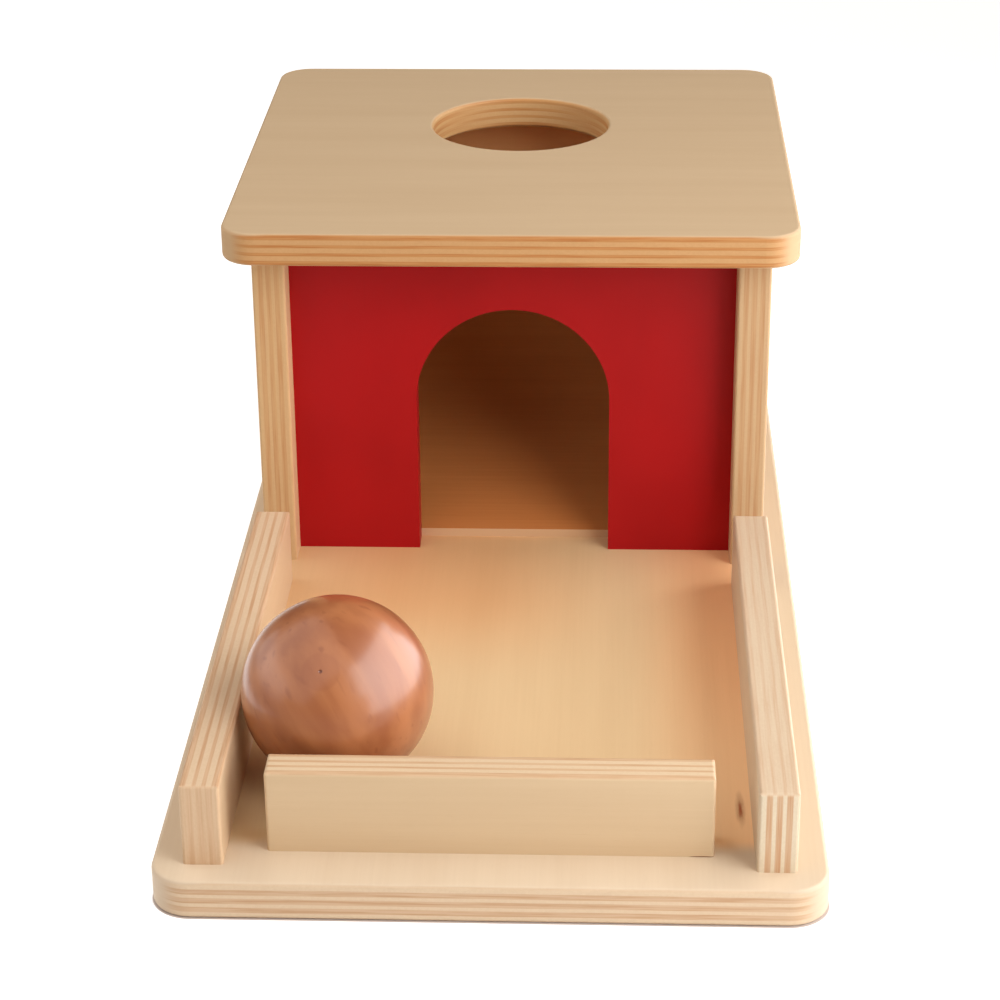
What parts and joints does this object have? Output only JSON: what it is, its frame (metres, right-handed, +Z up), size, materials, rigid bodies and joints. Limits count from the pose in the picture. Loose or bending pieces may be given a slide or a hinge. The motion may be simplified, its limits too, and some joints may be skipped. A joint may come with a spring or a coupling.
{
  "type": "object permanence box",
  "caption": "Plywood infant toy: a wooden ball dropped through the round hole in the box lid rolls down an inner ramp, out of a red arched doorway and into a railed tray.",
  "frame": {"origin": "middle of the base board's underside", "axes": "+X to the right seen from the open front, +Y from the tray's front edge to the back of the box, +Z up"},
  "size_m": [0.18, 0.36, 0.1286],
  "materials": {
    "birch_plywood": "sanded plywood with a clear satin lacquer and bare ply stripes on its edges",
    "red_paint": "plywood under an even satin red paint",
    "ramp_plywood": "thin sanded plywood, clear lacquer",
    "batten_pine": "planed, unfinished",
    "turned_hardwood": "turned hardwood under a gloss varnish",
    "beech_dowel": "plain beech, glued",
    "zinc_steel": "bright zinc plate"
  },
  "bodies": {
    "box": {"base_board": "birch_plywood", "left_wall": "birch_plywood", "right_wall": "birch_plywood", "back_wall": "birch_plywood", "top_plate": "birch_plywood", "left_rail": "birch_plywood", "right_rail": "birch_plywood", "front_rail": "birch_plywood", "front_panel": "red_paint", "ramp_board": "ramp_plywood", "ramp_batten": "batten_pine", "left_wall_screws": "zinc_steel", "right_wall_screws": "zinc_steel", "back_wall_screws": "zinc_steel", "front_panel_screws": "zinc_steel", "left_rail_screws": "zinc_steel", "right_rail_screws": "zinc_steel", "front_rail_screws": "zinc_steel", "batten_screws": "zinc_steel", "ramp_pins": "zinc_steel", "top_plate_dowels": "beech_dowel", "back_wall_dowels": "beech_dowel", "front_panel_dowels": "beech_dowel"},
    "ball": {"ball": "turned_hardwood"}
  },
  "joints": [
    {"name": "ball_roll", "type": "slide", "parent": "box", "child": "ball", "axis": [0.2923, 0.9563, 0], "range_m": [0, 0.149]}
  ]
}
